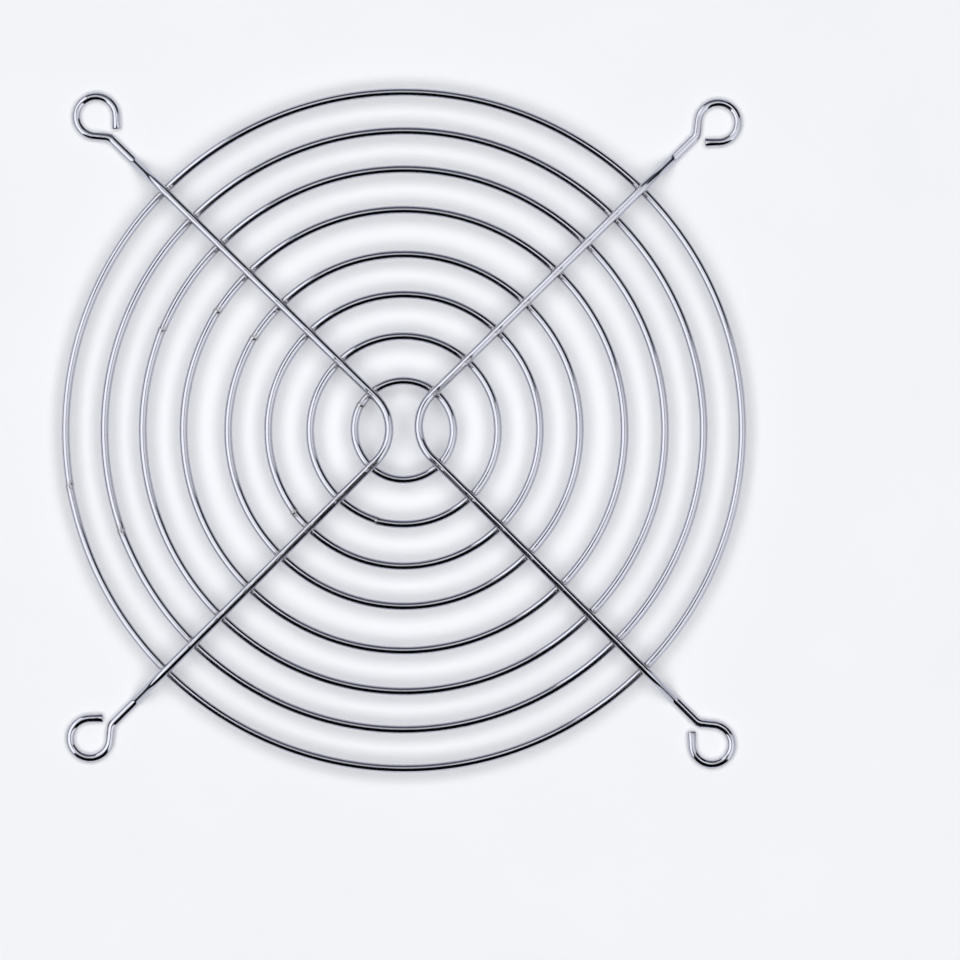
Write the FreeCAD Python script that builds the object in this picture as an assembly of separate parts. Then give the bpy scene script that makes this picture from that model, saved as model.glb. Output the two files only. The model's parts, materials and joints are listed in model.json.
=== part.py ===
import FreeCAD, Part
import math
import os

# Wire guard for a 120 mm opening: concentric wire rings, welded under two bent spoke wires
# Millimetres. Z = 0 is the mounting plane under the screw eyes, and +Z points out of the guard
# The rings' common axis is the Z axis, and the four screw eyes lie on its diagonals

# Wires
spoke_wire_d = 1.5
ring_wire_d = 1.4

# Overall
hole_pitch = 105.0           # eye to eye, along X and along Y
guard_height = 6.0           # mounting plane to the top of the spoke wires

# Screw eyes, each the hooked end of a spoke wire, wound clockwise seen from above
eye_hole_d = 5.4             # clear hole for the screw
eye_land = 0.1               # depth of the land that the forming pin leaves inside the eye
eye_arc = 262.0              # degrees of wire round the screw
eye_tail = 2.3               # straight cut end after the arc
eye_offset = 0.95            # the arm's line passes this far to the left of the screw's axis
eye_entry_turn = 39.0        # degrees that the arm turns left before it winds round the screw
eye_entry_r = 2.0            # bend radius of that turn, on the wire's axis

# Arms: foot on the mounting plane, sloped step, raised run over the rings
foot_run = 5.0               # from the eye's first bend to the corner under the step
step_run = 5.4               # plan length of the step, corner to corner
step_foot_r = 1.6            # bend radius at the foot of the step
step_top_r = 6.0             # bend radius at the top of the step
ring_to_step = 2.0           # from the outer ring's wire axis to the step's upper corner

# Centre bends, where each spoke wire turns back
centre_bend_r = 7.5
corner_past_axis = 0.7       # the arms' lines meet this far beyond the guard's axis, along X
left_corner_y = 0.2          # where they meet along Y, on the left wire
right_corner_y = 0.7         # and on the right wire

# Rings, from the outer ring inwards, each as a share of the outer ring's radius, and their butt welds
ring_shares = [1.0, 0.885, 0.772, 0.652, 0.52, 0.402, 0.278, 0.146]
ring_weld_angles = [190.0, 200.0, 158.0, 148.0, 149.0, 217.0, 254.0, 150.0]
ring_sink = 0.25             # how far the resistance weld sinks a ring into the spoke wires
weld_bead_length = 0.5
weld_bead_proud = 0.05

spoke_r = spoke_wire_d / 2
ring_r = ring_wire_d / 2
eye_r = eye_hole_d / 2 - eye_land + spoke_r
foot_z = spoke_r
raised_z = guard_height - spoke_r
ring_z = raised_z - spoke_r - ring_r + ring_sink
up = FreeCAD.Vector(0, 0, 1)


def rotate(vector, axis, degrees):
    return FreeCAD.Rotation(axis, degrees).multVec(vector)


def disc(centre, normal, radius):
    return Part.Face(Part.Wire(Part.makeCircle(radius, centre, normal)))


class WireBender:
    """Feeds a round wire forward and bends it, and keeps each length as a solid."""

    def __init__(self, start, heading, radius):
        self.point = start
        self.heading = heading
        self.radius = radius
        self.lengths = []

    def feed(self, length):
        rod = Part.makeCylinder(self.radius, length, self.point, self.heading)
        self.lengths.append(rod)
        self.point = self.point + self.heading * length

    def bend(self, axis, bend_r, degrees):
        centre = self.point - self.heading.cross(axis) * bend_r
        section = disc(self.point, self.heading, self.radius)
        self.lengths.append(section.revolve(centre, axis, degrees))
        self.point = centre + rotate(self.point - centre, axis, degrees)
        self.heading = rotate(self.heading, axis, degrees)


def eye_entry_stub():
    """Straight length between the arm's turn and the point where the wire meets the eye's circle."""
    turn = math.radians(eye_entry_turn)
    side = eye_r * math.cos(turn) - eye_offset - eye_entry_r * (1 - math.cos(turn))
    return side / math.sin(turn)


def eye_entry_reach():
    """How far along the arm the screw's axis lies beyond the start of the eye's first bend."""
    turn = math.radians(eye_entry_turn)
    return (eye_r + eye_entry_r) * math.sin(turn) + eye_entry_stub() * math.cos(turn)


def outer_ring_radius():
    eye_distance = hole_pitch / math.sqrt(2)
    return eye_distance - eye_entry_reach() - foot_run - step_run - ring_to_step


def ring_radii():
    return [outer_ring_radius() * share for share in ring_shares]


def arm_heading(corner, eye):
    """Heading, in degrees, of the arm's line from the corner past the left side of the eye."""
    reach = eye - corner
    bearing = math.atan2(reach.y, reach.x)
    return math.degrees(bearing + math.asin(eye_offset / reach.Length))


def bend_arm(corner, eye, bend_reach):
    """Solids of one arm, from the end of the centre bend to the cut end of its eye."""
    forward = rotate(FreeCAD.Vector(1, 0, 0), up, arm_heading(corner, eye))
    left = rotate(forward, up, 90)
    eye_along = (eye - corner).dot(forward)
    entry_along = eye_along - eye_entry_reach()
    step_foot_along = entry_along - foot_run
    step_top_along = step_foot_along - step_run

    drop = raised_z - foot_z
    slope = math.atan2(drop, step_run)
    slope_degrees = math.degrees(slope)
    top_reach = step_top_r * math.tan(slope / 2)
    foot_reach = step_foot_r * math.tan(slope / 2)
    slope_length = math.hypot(drop, step_run) - top_reach - foot_reach

    start = corner + forward * bend_reach + up * raised_z
    wire = WireBender(start, forward, spoke_r)
    wire.feed(step_top_along - top_reach - bend_reach)
    wire.bend(left, step_top_r, slope_degrees)
    wire.feed(slope_length)
    wire.bend(left * -1, step_foot_r, slope_degrees)
    wire.feed(entry_along - step_foot_along - foot_reach)
    wire.bend(up, eye_entry_r, eye_entry_turn)
    wire.feed(eye_entry_stub())
    wire.bend(up * -1, eye_r, eye_arc)
    wire.feed(eye_tail)
    return wire.lengths


def eye_pin(eye):
    """The forming pin, whose side presses the narrow land into the inside of the eye."""
    return Part.makeCylinder(eye_hole_d / 2, guard_height, eye)


def make_spoke_wire(corner, first_eye, second_eye):
    """One wire: eye, arm, centre bend, arm, eye. The centre bend turns right."""
    first_heading = arm_heading(corner, first_eye)
    second_heading = arm_heading(corner, second_eye)
    turn_degrees = (first_heading + 180 - second_heading) % 360
    bend_reach = centre_bend_r * math.tan(math.radians(turn_degrees / 2))

    first_forward = rotate(FreeCAD.Vector(1, 0, 0), up, first_heading)
    bend_start = corner + first_forward * bend_reach + up * raised_z
    centre = WireBender(bend_start, first_forward * -1, spoke_r)
    centre.bend(up * -1, centre_bend_r, turn_degrees)

    lengths = centre.lengths
    lengths += bend_arm(corner, first_eye, bend_reach)
    lengths += bend_arm(corner, second_eye, bend_reach)
    wire = lengths[0].fuse(lengths[1:]).removeSplitter()
    for eye in (first_eye, second_eye):
        wire = wire.cut(eye_pin(eye))
    return wire


def make_ring(radius, weld_angle, spoke_wires):
    """A butt-welded ring, with its seats where it is sunk into the spoke wires."""
    centre = up * ring_z
    ring = Part.makeTorus(radius, ring_r, centre, up)
    bead_span = math.degrees(weld_bead_length / radius)
    bead_heading = rotate(FreeCAD.Vector(0, 1, 0), up, weld_angle - bead_span / 2)
    bead_start = centre + rotate(FreeCAD.Vector(radius, 0, 0), up, weld_angle - bead_span / 2)
    bead_section = disc(bead_start, bead_heading, ring_r + weld_bead_proud)
    bead = bead_section.revolve(centre, up, bead_span)
    return ring.fuse(bead).cut(spoke_wires)


def build():
    half = hole_pitch / 2
    left_corner = FreeCAD.Vector(corner_past_axis, left_corner_y, 0)
    right_corner = FreeCAD.Vector(-corner_past_axis, right_corner_y, 0)
    upper_left = FreeCAD.Vector(-half, half, 0)
    upper_right = FreeCAD.Vector(half, half, 0)
    lower_left = FreeCAD.Vector(-half, -half, 0)
    lower_right = FreeCAD.Vector(half, -half, 0)

    left_wire = make_spoke_wire(left_corner, upper_left, lower_left)
    right_wire = make_spoke_wire(right_corner, lower_right, upper_right)
    parts = {"left_spoke_wire": left_wire, "right_spoke_wire": right_wire}

    spoke_wires = [left_wire, right_wire]
    for number, (radius, weld_angle) in enumerate(zip(ring_radii(), ring_weld_angles), start=1):
        parts["ring_%d" % number] = make_ring(radius, weld_angle, spoke_wires)
    return parts


parts = build()
os.makedirs("parts", exist_ok=True)
for name, shape in parts.items():
    shape.exportStep("parts/%s.step" % name)
    print(name, "solids", len(shape.Solids), "valid", shape.isValid(), "mm3", round(shape.Volume, 2))
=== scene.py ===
import json
import math
import random

import bpy
from mathutils import Matrix, Vector


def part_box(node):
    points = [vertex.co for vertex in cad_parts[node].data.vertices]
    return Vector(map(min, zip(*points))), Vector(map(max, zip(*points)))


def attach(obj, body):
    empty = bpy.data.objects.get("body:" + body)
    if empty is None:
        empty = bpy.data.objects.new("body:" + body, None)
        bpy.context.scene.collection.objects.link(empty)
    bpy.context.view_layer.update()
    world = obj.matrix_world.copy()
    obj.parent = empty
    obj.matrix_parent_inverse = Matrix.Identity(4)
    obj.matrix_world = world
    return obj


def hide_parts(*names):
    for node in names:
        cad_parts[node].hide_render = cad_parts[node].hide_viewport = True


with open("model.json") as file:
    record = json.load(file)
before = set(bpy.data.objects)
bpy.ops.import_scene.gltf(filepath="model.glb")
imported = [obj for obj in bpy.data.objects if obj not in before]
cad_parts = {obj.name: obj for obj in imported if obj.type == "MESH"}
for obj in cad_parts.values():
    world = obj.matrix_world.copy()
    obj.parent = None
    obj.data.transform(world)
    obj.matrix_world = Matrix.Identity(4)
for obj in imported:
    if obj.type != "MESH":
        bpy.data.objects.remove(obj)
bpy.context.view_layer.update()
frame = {"nodes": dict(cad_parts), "record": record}
print("Frame loaded, with", len(frame["nodes"]), "wires")

# Wires are worked out in millimetres, in the frame's own axes, and written to meshes in metres
mm = 0.001
up = Vector((0, 0, 1))

screwEyes = next(m["dims"] for m in frame["record"]["mounts"] if m["kind"] == "bolt_pattern")
eyePitch = screwEyes["spacing_x_mm"]
screwHoleRadius = screwEyes["hole_r_mm"]
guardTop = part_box("left_spoke_wire")[1].z / mm

# Both spoke wires, in millimetres and degrees
spokeWire = {
    "diameter": 1.5,
    "corners": {"left": (0.7, 0.2), "right": (-0.7, 0.7)},   # where the two arms' lines meet
    "centreBend": 7.5,
    "stepTopBend": 6.0,      # bend radii, on the wire's axis
    "stepFootBend": 1.6,
    "stepRun": 5.4,          # plan length of the slope
    "footRun": 5.0,          # flat length between the step and the eye
    "eyeOffset": 0.95,       # the arm's line passes this far to the left of the screw
    "entryTurn": 39.0,
    "entryBend": 2.0,
    "eyeArc": 262.0,
    "eyeTail": 2.3,
    "eyeLand": 0.1,          # flat that the forming pin pressed inside the eye
    "cutChamfer": 0.22,      # rounded edge of the cut ends, under the plating
    "cutSteps": (0.4, 0.75, 1.0),    # where along the rounding it gets a ring of points
    "cutLoss": 0.2,          # share of the radius that the rounding takes off the end face
    "cutPinch": 0.08,        # the shears leave the end this much flatter and wider
    "pinchReach": 0.7,
}

# Rings, from the outer one inwards
ringWire = {
    "diameter": 1.4,
    "joinAngles": [190.0, 200.0, 158.0, 148.0, 149.0, 217.0, 254.0, 150.0],   # butt welds
    "joinBead": 0.5,         # length of the bead
    "joinProud": 0.05,
    "joinPeak": 0.08,        # the rolled ends stay a little straight, so the ring peaks here
    "peakReach": 2.5,
    "joinStep": 0.05,        # the two ends don't meet exactly
    "stepReach": 0.15,
    "joinHeatFlat": 0.2,     # half length of the dulled metal, then how far it fades
    "joinHeatReach": 1.2,
    "outOfRound": 0.05,
}

# Resistance welds, where a ring passes under a spoke wire
crossWeld = {
    "sink": 0.25,            # how far the two wires are pressed into each other
    "flatDepth": 0.03,       # flat left by the electrode
    "flatHalf": 0.5,
    "flatFade": 1.0,
    "flashHalf": 0.86,       # half width of the metal squeezed out between the wires
    "flashHeight": 0.15,
    "flashSpread": (0.93, 1.1),      # shares of the half width, from the smallest to the largest
    "flashRipple": 0.05,
    "flashCorner": 0.7,      # under 1 squares the cushion's outline
    "flashEdge": 0.6,        # under 1 makes its edge blunter
    "flashRows": 6,
    "flashColumns": 20,
    "heatReach": 1.4,
    "heatEven": 0.6,         # the rest of the dulling lies on the side that faces the weld
}

# Points round a wire and along it
meshing = {
    "sides": 32,
    "spacing": 1.1,
    "bendStep": 4.0,         # degrees
    "ringStep": 3.0,
    "closeStep": 0.16,       # spacing near a weld, and how far to each side it holds
    "closeReach": 1.6,
    "sharpAngle": 50,        # degrees, edges over this are kept sharp
}

spokeRadius = spokeWire["diameter"] / 2
ringRadius = ringWire["diameter"] / 2
raisedZ = guardTop - spokeRadius
footZ = spokeRadius
ringZ = raisedZ - spokeRadius - ringRadius + crossWeld["sink"]
footTop = spokeWire["diameter"] * 1.1    # only the feet and eyes are wholly below this
eyeRadius = screwHoleRadius - spokeWire["eyeLand"] + spokeRadius


# 1 up to the flat's edge, then a smooth fall to 0
def fade(distance, flat, fall):
    share = min(max((distance - flat) / fall, 0.0), 1.0)
    return 1 - share * share * (3 - 2 * share)


# Distances at which a length of wire gets a ring of points, closer together at its welds
def stopsAlong(length, spacing, closeUps):
    count = max(1, math.ceil(length / spacing))
    stops = [length * i / count for i in range(count + 1)]
    steps = math.ceil(meshing["closeReach"] / meshing["closeStep"])
    for place in closeUps:
        stops += [place + meshing["closeStep"] * i for i in range(-steps, steps + 1)]
    kept = [0.0]
    for stop in sorted(stops):
        if kept[-1] + meshing["closeStep"] / 2 < stop <= length:
            kept.append(stop)
    kept[-1] = length
    return kept


# A run is a list of (point, heading, top) along the wire's axis
def feedWire(run, length, closeUps=()):
    point, heading, top = run[-1]
    for stop in stopsAlong(length, meshing["spacing"], closeUps)[1:]:
        run.append((point + heading * stop, heading, top))


def bendWire(run, axis, bendRadius, degrees):
    point, heading, top = run[-1]
    centre = point - heading.cross(axis) * bendRadius
    steps = math.ceil(degrees / meshing["bendStep"])
    for i in range(1, steps + 1):
        turn = Matrix.Rotation(math.radians(degrees * i / steps), 3, axis)
        run.append((centre + turn @ (point - centre), turn @ heading, turn @ top))


def headingOf(corner, eye):
    reach = eye - corner
    return math.atan2(reach.y, reach.x) + math.asin(spokeWire["eyeOffset"] / reach.length)


# How far along a straight arm it passes over a ring
def crossingAlong(corner, forward, ringMid):
    beside = corner.dot(forward)
    return math.sqrt(beside ** 2 - corner.length_squared + ringMid ** 2) - beside


def bendArm(corner, eye, bendReach, ringMids):
    angle = headingOf(corner, eye)
    forward = Vector((math.cos(angle), math.sin(angle), 0))
    left = up.cross(forward)
    turn = math.radians(spokeWire["entryTurn"])
    entryBend = spokeWire["entryBend"]
    beside = eyeRadius * math.cos(turn) - spokeWire["eyeOffset"] - entryBend * (1 - math.cos(turn))
    entryStub = beside / math.sin(turn)
    entryReach = (eyeRadius + entryBend) * math.sin(turn) + entryStub * math.cos(turn)
    entryAlong = (eye - corner).dot(forward) - entryReach
    stepFoot = entryAlong - spokeWire["footRun"]
    stepTop = stepFoot - spokeWire["stepRun"]

    drop = raisedZ - footZ
    slope = math.atan2(drop, spokeWire["stepRun"])
    topReach = spokeWire["stepTopBend"] * math.tan(slope / 2)
    footReach = spokeWire["stepFootBend"] * math.tan(slope / 2)
    slopeLength = math.hypot(drop, spokeWire["stepRun"]) - topReach - footReach

    run = [(corner + forward * bendReach + up * raisedZ, forward, up)]
    crossings = [crossingAlong(corner, forward, mid) - bendReach for mid in ringMids]
    feedWire(run, stepTop - topReach - bendReach, crossings)
    bendWire(run, left, spokeWire["stepTopBend"], math.degrees(slope))
    feedWire(run, slopeLength)
    bendWire(run, -left, spokeWire["stepFootBend"], math.degrees(slope))
    feedWire(run, entryAlong - stepFoot - footReach)
    bendWire(run, up, entryBend, spokeWire["entryTurn"])
    feedWire(run, entryStub)
    bendWire(run, -up, eyeRadius, spokeWire["eyeArc"])
    chamfer = spokeWire["cutChamfer"]
    feedWire(run, spokeWire["eyeTail"] - chamfer)
    point, heading, top = run[-1]
    for share in spokeWire["cutSteps"]:
        run.append((point + heading * chamfer * share, heading, top))
    return run


# Closed mesh round a run. sectionAt gives each point's place across the wire, and its weld heat
def skinWire(stations, sectionAt, closed):
    sides = meshing["sides"]
    points, coords, heats, faces = [], [], [], []
    along = 0.0
    for index, (point, heading, top) in enumerate(stations):
        if index:
            along += (point - stations[index - 1][0]).length
        side = heading.cross(top)
        for k in range(sides):
            angle = 2 * math.pi * k / sides
            across, above, heat = sectionAt(along, point, math.cos(angle), math.sin(angle))
            points.append(point + side * across + top * above)
            coords.append((along, across, above))
            heats.append(heat)
    last = len(stations) if closed else len(stations) - 1
    for i in range(last):
        here, there = i * sides, (i + 1) % len(stations) * sides
        for k in range(sides):
            n = (k + 1) % sides
            faces.append((here + k, there + k, there + n, here + n))
    if not closed:
        faces.append(tuple(range(sides)))
        faces.append(tuple(reversed(range(len(points) - sides, len(points)))))
    return points, coords, heats, faces


def buildPiece(name, parts, node, material):
    points, coords, heats, faces = [], [], [], []
    for partPoints, partCoords, partHeats, partFaces in parts:
        first = len(points)
        points += [p * mm for p in partPoints]
        coords += partCoords
        heats += partHeats
        faces += [tuple(first + v for v in face) for face in partFaces]
    mesh = bpy.data.meshes.new(name)
    mesh.from_pydata(points, [], faces)
    wireCoord = mesh.attributes.new("wireCoord", "FLOAT_VECTOR", "POINT")
    wireCoord.data.foreach_set("vector", [value for coord in coords for value in coord])
    weldHeat = mesh.attributes.new("weldHeat", "FLOAT", "POINT")
    weldHeat.data.foreach_set("value", heats)
    mesh.shade_smooth()
    mesh.set_sharp_from_angle(angle=math.radians(meshing["sharpAngle"]))
    mesh.materials.append(material)
    mesh.update()
    piece = bpy.data.objects.new(name, mesh)
    bpy.context.scene.collection.objects.link(piece)
    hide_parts(node)
    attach(piece, "root")
    return piece


def toLinear(hexColour):
    channels = [int(hexColour[i:i + 2], 16) / 255 for i in (1, 3, 5)]
    return [c / 12.92 if c <= 0.04045 else ((c + 0.055) / 1.055) ** 2.4 for c in channels] + [1]


def addNode(tree, kind, inputs=None, links=None, **settings):
    node = tree.nodes.new(kind)
    for name, value in settings.items():
        setattr(node, name, value)
    for socket, value in (inputs or {}).items():
        node.inputs[socket].default_value = value
    for socket, source in (links or {}).items():
        tree.links.new(source, node.inputs[socket])
    return node


# Bright nickel-chrome plate over drawn mild steel wire. The plate mirrors what is round it, and
# keeps the fine lines that the drawing die left along the wire. Its tints are a little blue:
# partly the bluish white of the chrome itself, partly a painted blue reflection of the cool light
# round it, put into the plate's colour rather than into the lamps. The lines are drawn three times
# as coarse as real ones, which would be too fine to show
chromePlate = {
    # paleTint and deepTint hold the plate's own tone plus a painted blue reflection of the light
    "paleTint": "#C9CAD4",
    "deepTint": "#BCBECB",
    "weldTint": "#ABA9AA",
    "polished": 0.05,        # roughness, from the best of the plate to the most rubbed
    "rubbed": 0.10,
    "lineDull": 0.05,        # added by the die lines
    "weldDull": 0.10,        # added over a weld
    "weldShare": 0.5,        # how much of the weld tint shows
    "dieLineWidth": 0.22,    # millimetres, as the pattern sizes below
    "dieLineStretch": 25.0,  # times as long as wide
    "dieLineDepth": 0.002,
    "skinSize": 1.4,
    "skinDepth": 0.003,
    "rubSize": 14.0,
    "rubLow": 0.35,          # noise values taken as unrubbed and fully rubbed
    "rubHigh": 0.65,
    "pitSize": 0.35,
    "pitDepth": 0.03,
}


def platedWire(name, finish):
    material = bpy.data.materials.new(name)
    material.use_nodes = True
    tree = material.node_tree
    tree.nodes.clear()
    coord = addNode(tree, "ShaderNodeAttribute", attribute_name="wireCoord").outputs["Vector"]
    heat = addNode(tree, "ShaderNodeAttribute", attribute_name="weldHeat").outputs["Fac"]

    alongScale = 1 / finish["dieLineStretch"]
    stretched = addNode(tree, "ShaderNodeVectorMath", {1: (alongScale, 1, 1)}, {0: coord},
                        operation="MULTIPLY").outputs[0]
    dieLines = addNode(tree, "ShaderNodeTexNoise",
                       {"Scale": 1 / finish["dieLineWidth"], "Detail": 2.0},
                       {"Vector": stretched}).outputs["Fac"]
    skin = addNode(tree, "ShaderNodeTexNoise", {"Scale": 1 / finish["skinSize"], "Detail": 1.0},
                   {"Vector": coord}).outputs["Fac"]
    rub = addNode(tree, "ShaderNodeTexNoise", {"Scale": 1 / finish["rubSize"], "Detail": 3.0},
                  {"Vector": coord}).outputs["Fac"]
    pits = addNode(tree, "ShaderNodeTexNoise", {"Scale": 1 / finish["pitSize"], "Detail": 2.0},
                   {"Vector": coord}).outputs["Fac"]

    tint = addNode(tree, "ShaderNodeMix",
                   {6: toLinear(finish["deepTint"]), 7: toLinear(finish["paleTint"])},
                   {0: rub}, data_type="RGBA").outputs[2]
    weldShare = addNode(tree, "ShaderNodeMath", {1: finish["weldShare"]}, {0: heat},
                        operation="MULTIPLY").outputs[0]
    colour = addNode(tree, "ShaderNodeMix", {7: toLinear(finish["weldTint"])},
                     {0: weldShare, 6: tint}, data_type="RGBA").outputs[2]

    rubbed = addNode(tree, "ShaderNodeMapRange",
                     {"From Min": finish["rubLow"], "From Max": finish["rubHigh"],
                      "To Min": finish["polished"], "To Max": finish["rubbed"]},
                     {"Value": rub}).outputs[0]
    lined = addNode(tree, "ShaderNodeMath", {1: finish["lineDull"]}, {0: dieLines, 2: rubbed},
                    operation="MULTIPLY_ADD").outputs[0]
    rough = addNode(tree, "ShaderNodeMath", {1: finish["weldDull"]}, {0: heat, 2: lined},
                    operation="MULTIPLY_ADD").outputs[0]

    pitted = addNode(tree, "ShaderNodeMath", {}, {0: pits, 1: heat},
                     operation="MULTIPLY").outputs[0]
    normal = None
    for height, depth in ((skin, finish["skinDepth"]), (dieLines, finish["dieLineDepth"]),
                          (pitted, finish["pitDepth"])):
        links = {"Height": height} if normal is None else {"Height": height, "Normal": normal}
        normal = addNode(tree, "ShaderNodeBump", {"Strength": 1.0, "Distance": depth * mm},
                         links).outputs["Normal"]

    shader = addNode(tree, "ShaderNodeBsdfPrincipled", {"Metallic": 1.0},
                     {"Base Color": colour, "Roughness": rough, "Normal": normal})
    addNode(tree, "ShaderNodeOutputMaterial", {}, {"Surface": shader.outputs[0]})
    return material


spokePlate = platedWire("brightChromePlateOnDrawnSpokeWire", chromePlate)
ringPlate = platedWire("brightChromePlateOnRolledRingWire", chromePlate)


# A ring's wire axis lies midway between the inner and outer edge of its frame node
def ringMidOf(node):
    reaches = [vertex.co.xy.length / mm for vertex in frame["nodes"][node].data.vertices]
    return (min(reaches) + max(reaches)) / 2


ringNodes = ["ring_%d" % number for number in range(1, len(ringWire["joinAngles"]) + 1)]
ringMids = [ringMidOf(node) for node in ringNodes]
half = eyePitch / 2
eyeSides = {"left": ((-half, half), (-half, -half)), "right": ((half, -half), (half, half))}
armLines = []                # (corner, heading) of the four straight arms

for sideName, eyePlaces in eyeSides.items():
    corner = Vector((*spokeWire["corners"][sideName], 0))
    eyes = [Vector((*place, 0)) for place in eyePlaces]
    headings = [headingOf(corner, eye) for eye in eyes]
    turned = (headings[0] + math.pi - headings[1]) % (2 * math.pi)
    bendReach = spokeWire["centreBend"] * math.tan(turned / 2)

    firstArm = bendArm(corner, eyes[0], bendReach, ringMids)
    secondArm = bendArm(corner, eyes[1], bendReach, ringMids)
    run = [(point, -heading, top) for point, heading, top in reversed(firstArm)]
    bendWire(run, -up, spokeWire["centreBend"], math.degrees(turned))
    run += secondArm[1:]
    length = sum((b[0] - a[0]).length for a, b in zip(run, run[1:]))

    forwards = [Vector((math.cos(h), math.sin(h), 0)) for h in headings]
    armLines += [(corner, forward) for forward in forwards]
    crossings = [corner + forward * crossingAlong(corner, forward, mid)
                 for forward in forwards for mid in ringMids]

    def spokeSection(along, point, cosine, sine):
        fromEnd = min(along, length - along)
        unrounded = min(fromEnd / spokeWire["cutChamfer"], 1)
        radius = spokeRadius * (1 - spokeWire["cutLoss"] * (1 - unrounded) ** 2)
        pinch = spokeWire["cutPinch"] * fade(fromEnd, 0, spokeWire["pinchReach"])
        across, above = radius * cosine * (1 + pinch), radius * sine * (1 - pinch)
        near = min((point.xy - crossing.xy).length for crossing in crossings)
        raised = point.z > raisedZ - spokeRadius
        if raised:
            pressed = fade(near, crossWeld["flatHalf"], crossWeld["flatFade"])
            above = min(above, spokeRadius - crossWeld["flatDepth"] * pressed)
        heat = fade(near, crossWeld["flatHalf"], crossWeld["heatReach"]) if raised else 0.0
        facing = crossWeld["heatEven"] - (1 - crossWeld["heatEven"]) * sine
        return across, above, heat * facing

    points, coords, heats, faces = skinWire(run, spokeSection, False)
    for point in points:     # the forming pin's land inside each eye
        for eye in eyes:
            outward = Vector((point.x - eye.x, point.y - eye.y, 0))
            if outward.length < screwHoleRadius and point.z < footTop:
                point += outward.normalized() * (screwHoleRadius - outward.length)
    buildPiece(sideName + "SpokeWire", [(points, coords, heats, faces)],
               sideName + "_spoke_wire", spokePlate)
    print("Made the", sideName, "spoke wire, round", round(length, 1), "mm long")


def squared(value):
    return math.copysign(abs(value) ** crossWeld["flashCorner"], value)


# Metal squeezed out of a resistance weld: a flat squarish cushion between the two wires
def weldFlash(centre, forward, draws):
    rows, columns = crossWeld["flashRows"], crossWeld["flashColumns"]
    halfWide = crossWeld["flashHalf"] * draws.uniform(*crossWeld["flashSpread"])
    halfLong = crossWeld["flashHalf"] * draws.uniform(*crossWeld["flashSpread"])
    left = up.cross(forward)
    points, faces = [centre - up * crossWeld["flashHeight"]], []
    for row in range(1, rows):
        tilt = math.pi * (row / rows - 0.5)
        for column in range(columns):
            angle = 2 * math.pi * column / columns
            ripple = 1 + crossWeld["flashRipple"] * draws.uniform(-1, 1)
            edge = math.cos(tilt) ** crossWeld["flashEdge"]
            x = squared(math.cos(angle)) * edge
            y = squared(math.sin(angle)) * edge
            points.append(centre + forward * x * halfLong * ripple + left * y * halfWide * ripple
                          + up * math.sin(tilt) * crossWeld["flashHeight"])
    points.append(centre + up * crossWeld["flashHeight"])
    for column in range(columns):
        n = (column + 1) % columns
        faces.append((0, 1 + n, 1 + column))
        for row in range(rows - 2):
            low, high = 1 + row * columns, 1 + (row + 1) * columns
            faces.append((low + column, low + n, high + n, high + column))
        top = 1 + (rows - 2) * columns
        faces.append((top + column, top + n, len(points) - 1))
    coords = [tuple(point - centre) for point in points]
    return points, coords, [1.0] * len(points), faces


for number, (node, mid, joinDegrees) in enumerate(
        zip(ringNodes, ringMids, ringWire["joinAngles"]), start=1):
    draws = random.Random(number)
    phases = [draws.uniform(0, 2 * math.pi) for _ in range(3)]
    joinAngle = math.radians(joinDegrees)
    circumference = 2 * math.pi * mid
    crossings = [(corner + forward * crossingAlong(corner, forward, mid), forward)
                 for corner, forward in armLines]
    crossingStops = [(math.atan2(place.y, place.x) - joinAngle) % (2 * math.pi) * mid
                     for place, forward in crossings]
    spacing = min(meshing["spacing"], mid * math.radians(meshing["ringStep"]))
    stops = stopsAlong(circumference, spacing, crossingStops + [0, circumference])[:-1]

    run = []
    for stop in stops:
        fromJoin = (stop + circumference / 2) % circumference - circumference / 2
        angle = joinAngle + stop / mid
        outOfRound = sum(math.cos((k + 2) * angle + phase) for k, phase in enumerate(phases))
        nearJoin = math.exp(-abs(fromJoin) / ringWire["peakReach"])
        reach = (mid + outOfRound * ringWire["outOfRound"] / 3 + ringWire["joinPeak"] * nearJoin
                 + ringWire["joinStep"] * math.tanh(fromJoin / ringWire["stepReach"]) * nearJoin)
        outward = Vector((math.cos(angle), math.sin(angle), 0))
        run.append((outward * reach + up * ringZ, up.cross(outward), up))

    def ringSection(along, point, cosine, sine):
        fromJoin = min(along, abs(circumference - along))
        bead = max(0.0, 1 - (2 * fromJoin / ringWire["joinBead"]) ** 2) * ringWire["joinProud"]
        across, above = (ringRadius + bead) * cosine, (ringRadius + bead) * sine
        near = min((point.xy - place.xy).length for place, forward in crossings)
        pressed = fade(near, crossWeld["flatHalf"], crossWeld["flatFade"])
        above = max(above, crossWeld["flatDepth"] * pressed - ringRadius)
        facing = crossWeld["heatEven"] + (1 - crossWeld["heatEven"]) * sine
        heat = fade(near, crossWeld["flatHalf"], crossWeld["heatReach"]) * facing
        joinHeat = fade(fromJoin, ringWire["joinHeatFlat"], ringWire["joinHeatReach"])
        return across, above, max(heat, joinHeat)

    flashZ = raisedZ - spokeRadius + crossWeld["sink"] / 2
    flashes = [weldFlash(place + up * flashZ, forward, draws) for place, forward in crossings]
    buildPiece("ringWire%d" % number, [skinWire(run, ringSection, True)] + flashes,
               node, ringPlate)
print("Made", len(ringNodes), "rings with their welds")

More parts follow.
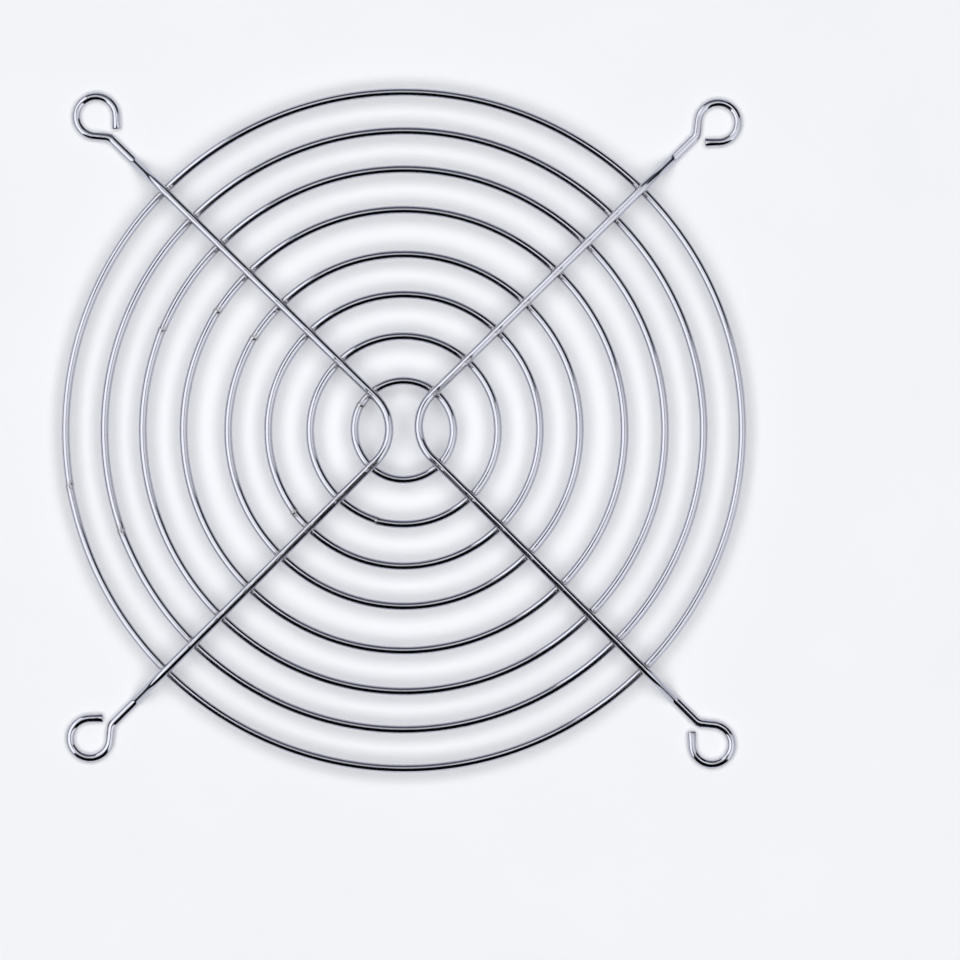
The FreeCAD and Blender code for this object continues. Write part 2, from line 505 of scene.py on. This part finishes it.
# Stage: a round matt painted board that sweeps up into a low wall far out, in metres
stageBoard = {
    "flatRadius": 1.8,
    "sweepRadius": 0.1,
    "sweepSteps": 6,
    "wallTop": 0.16,
    "spokes": 96,
    "below": 0.05,           # millimetres under the mounting plane
    "paint": "#EFF0F2",
    "paintDeep": "#EBECEF",
    "mottle": 0.03,
    "roughness": 0.8,
}
sweepSteps = stageBoard["sweepSteps"]
sweep = [math.pi / 2 * i / sweepSteps for i in range(sweepSteps + 1)]
boardProfile = [(stageBoard["flatRadius"] + stageBoard["sweepRadius"] * math.sin(angle),
                 stageBoard["sweepRadius"] * (1 - math.cos(angle))) for angle in sweep]
boardProfile.append((boardProfile[-1][0], stageBoard["wallTop"]))
boardPoints, boardFaces = [(0, 0, 0)], []
spokes = stageBoard["spokes"]
for radius, height in boardProfile:
    for k in range(spokes):
        angle = 2 * math.pi * k / spokes
        boardPoints.append((radius * math.cos(angle), radius * math.sin(angle), height))
for k in range(spokes):
    n = (k + 1) % spokes
    boardFaces.append((0, 1 + k, 1 + n))
    for row in range(len(boardProfile) - 1):
        low, high = 1 + row * spokes, 1 + (row + 1) * spokes
        boardFaces.append((low + n, low + k, high + k, high + n))
boardMesh = bpy.data.meshes.new("board")
boardMesh.from_pydata(boardPoints, [], boardFaces)
boardMesh.shade_smooth()
board = bpy.data.objects.new("board", boardMesh)
board.location.z = -stageBoard["below"] * mm
bpy.context.scene.collection.objects.link(board)
boardPaint = bpy.data.materials.new("mattPaintedBoard")
boardPaint.use_nodes = True
tree = boardPaint.node_tree
tree.nodes.clear()
place = addNode(tree, "ShaderNodeTexCoord").outputs["Object"]
mottle = addNode(tree, "ShaderNodeTexNoise", {"Scale": 1 / stageBoard["mottle"]},
                 {"Vector": place}).outputs["Fac"]
paint = addNode(tree, "ShaderNodeMix",
                {6: toLinear(stageBoard["paintDeep"]), 7: toLinear(stageBoard["paint"])},
                {0: mottle}, data_type="RGBA").outputs[2]
matt = addNode(tree, "ShaderNodeBsdfPrincipled", {"Roughness": stageBoard["roughness"]},
               {"Base Color": paint})
addNode(tree, "ShaderNodeOutputMaterial", {}, {"Surface": matt.outputs[0]})
boardMesh.materials.append(boardPaint)

# Light tent: glowing cloths stretched over a dome, that only metal mirrors. Azimuth runs
# counterclockwise from +X. The glow is given by the angle from straight up, and a glow of 1 is as
# bright as a white board in full light. The tent is open towards -Y, so the wires that run along
# X have a black band beside a bright one
lightTent = {
    "radius": 0.8,           # metres
    "centreY": -0.01,
    "columns": 8,            # panels round each cloth
    "cloths": {
        "left": {"from": 120, "to": 224, "lastShare": 1.0, "reach": 1.0,
                 "shift": (-0.02, 0, 0),
                 "glow": {0: 1.5, 14: 1.5, 24: 1.75, 40: 1.75, 52: 1.4, 63: 1.25, 70: 1.0,
                          73: 0.03, 86: 0.02}},
        "right": {"from": -45, "to": 20, "lastShare": 0.6, "reach": 1.0,
                  "shift": (0.04, 0, 0),
                  "glow": {0: 1.35, 14: 1.4, 24: 1.55, 40: 1.5, 52: 1.2, 66: 1.1, 80: 0.95,
                           89: 0.3}},
        "backRight": {"from": 22, "to": 62, "lastShare": 0.9, "reach": 1.0,
                      "shift": (0, 0, 0),
                      "glow": {0: 1.5, 16: 1.5, 25: 1.35, 32: 0.1, 37: 0.02, 84: 0.02}},
        "back": {"from": 62, "to": 100, "lastShare": 1.0, "reach": 1.0,
                 "shift": (0, 0, 0), "glow": {0: 0.8, 18: 0.8, 30: 0.6, 38: 0.2}},
        "backLeft": {"from": 100, "to": 120, "lastShare": 1.2, "reach": 1.0,
                     "shift": (0, 0, 0),
                     "glow": {0: 0.95, 18: 0.95, 30: 0.8, 42: 0.35, 50: 0.08, 70: 0.08}},
        "cameraShade": {"from": 0, "to": 360, "lastShare": 1.0, "reach": 0.98,
                        "shift": (0.02, -0.025, 0), "glow": {0: 0.03, 4.3: 0.03}},
        "cameraArm": {"from": 138, "to": 152, "lastShare": 1.0, "reach": 0.98,
                      "shift": (0.098, -0.069, 0), "glow": {0: 0.02, 33: 0.02}},
    },
}
tentPoints, tentGlow, tentFaces = [], [], []
for cloth in lightTent["cloths"].values():
    stops = sorted(cloth["glow"])
    for column in range(lightTent["columns"] + 1):
        share = column / lightTent["columns"]
        azimuth = math.radians(cloth["from"] + (cloth["to"] - cloth["from"]) * share)
        for stop in stops:
            angle = math.radians(stop)
            tentPoints.append(Vector((math.sin(angle) * math.cos(azimuth),
                                      math.sin(angle) * math.sin(azimuth),
                                      math.cos(angle))) * cloth["reach"] + Vector(cloth["shift"]))
            tentGlow.append(cloth["glow"][stop] * (1 + (cloth["lastShare"] - 1) * share))
            if column and stop != stops[0]:
                n = len(tentPoints) - 1
                tentFaces.append((n, n - 1, n - 1 - len(stops), n - len(stops)))
tentMesh = bpy.data.meshes.new("lightTent")
tentMesh.from_pydata(tentPoints, [], tentFaces)
tentMesh.attributes.new("glow", "FLOAT", "POINT").data.foreach_set("value", tentGlow)
tent = bpy.data.objects.new("lightTent", tentMesh)
tent.scale = [lightTent["radius"]] * 3
tent.location.y = lightTent["centreY"]
tent.visible_camera = tent.visible_diffuse = tent.visible_shadow = False
bpy.context.scene.collection.objects.link(tent)
tentCloth = bpy.data.materials.new("glowingTentCloth")
tentCloth.use_nodes = True
tree = tentCloth.node_tree
tree.nodes.clear()
glow = addNode(tree, "ShaderNodeAttribute", attribute_name="glow").outputs["Fac"]
shine = addNode(tree, "ShaderNodeEmission", {}, {"Strength": glow})
addNode(tree, "ShaderNodeOutputMaterial", {}, {"Surface": shine.outputs[0]})
tentMesh.materials.append(tentCloth)

# Sky panel: lights the board, and metal doesn't mirror it. Metres and watts
skyPanel = {"height": 2.5, "size": 3.0, "power": 90.0}
light = bpy.data.lights.new("skyPanel", "AREA")
light.size = skyPanel["size"]
light.energy = skyPanel["power"]
sky = bpy.data.objects.new("skyPanel", light)
sky.location.z = skyPanel["height"]
sky.visible_camera = sky.visible_glossy = False
bpy.context.scene.collection.objects.link(sky)

# The dim room beyond the tent, darkest towards -Y
dimRoom = {"dark": "#08090B", "dim": "#64676E", "from": -0.1, "to": 0.5}
room = bpy.data.worlds.new("dimRoom")
room.use_nodes = True
tree = room.node_tree
tree.nodes.clear()
direction = addNode(tree, "ShaderNodeTexCoord").outputs["Generated"]
northward = addNode(tree, "ShaderNodeSeparateXYZ", {}, {0: direction}).outputs["Y"]
share = addNode(tree, "ShaderNodeMapRange",
                {"From Min": dimRoom["from"], "From Max": dimRoom["to"]},
                {"Value": northward}).outputs[0]
walls = addNode(tree, "ShaderNodeMix",
                {6: toLinear(dimRoom["dark"]), 7: toLinear(dimRoom["dim"])},
                {0: share}, data_type="RGBA").outputs[2]
background = addNode(tree, "ShaderNodeBackground", {}, {"Color": walls})
addNode(tree, "ShaderNodeOutputWorld", {}, {"Surface": background.outputs[0]})
bpy.context.scene.world = room

# Camera: straight down, as in the photograph, with the guard left of the middle
photoView = {
    "pixels": 960,
    "pixelsPerMm": 5.93,
    "guardAt": (404.0, 430.3),    # pixel of the rings' centre
    "roll": 0.57,                 # degrees that the guard lies turned clockwise
    "scalePlane": 2.5,            # height in millimetres at which the scale holds
    "distance": 1.5,
}
camera = bpy.data.cameras.new("photoCamera")
frameWidth = photoView["pixels"] / photoView["pixelsPerMm"] * mm
camera.lens = camera.sensor_width * photoView["distance"] / frameWidth
cameraHolder = bpy.data.objects.new("photoCamera", camera)
middle = photoView["pixels"] / 2
roll = Matrix.Rotation(math.radians(photoView["roll"]), 3, up)
aside = Vector((middle - photoView["guardAt"][0], photoView["guardAt"][1] - middle, 0))
cameraHolder.location = (roll @ aside / photoView["pixelsPerMm"] * mm
                         + up * (photoView["distance"] + photoView["scalePlane"] * mm))
cameraHolder.rotation_euler = roll.to_euler()
bpy.context.scene.collection.objects.link(cameraHolder)
bpy.context.scene.camera = cameraHolder
bpy.context.scene.view_settings.view_transform = "Standard"
print("Stage, lamps and camera are in place")

bpy.context.view_layer.update()
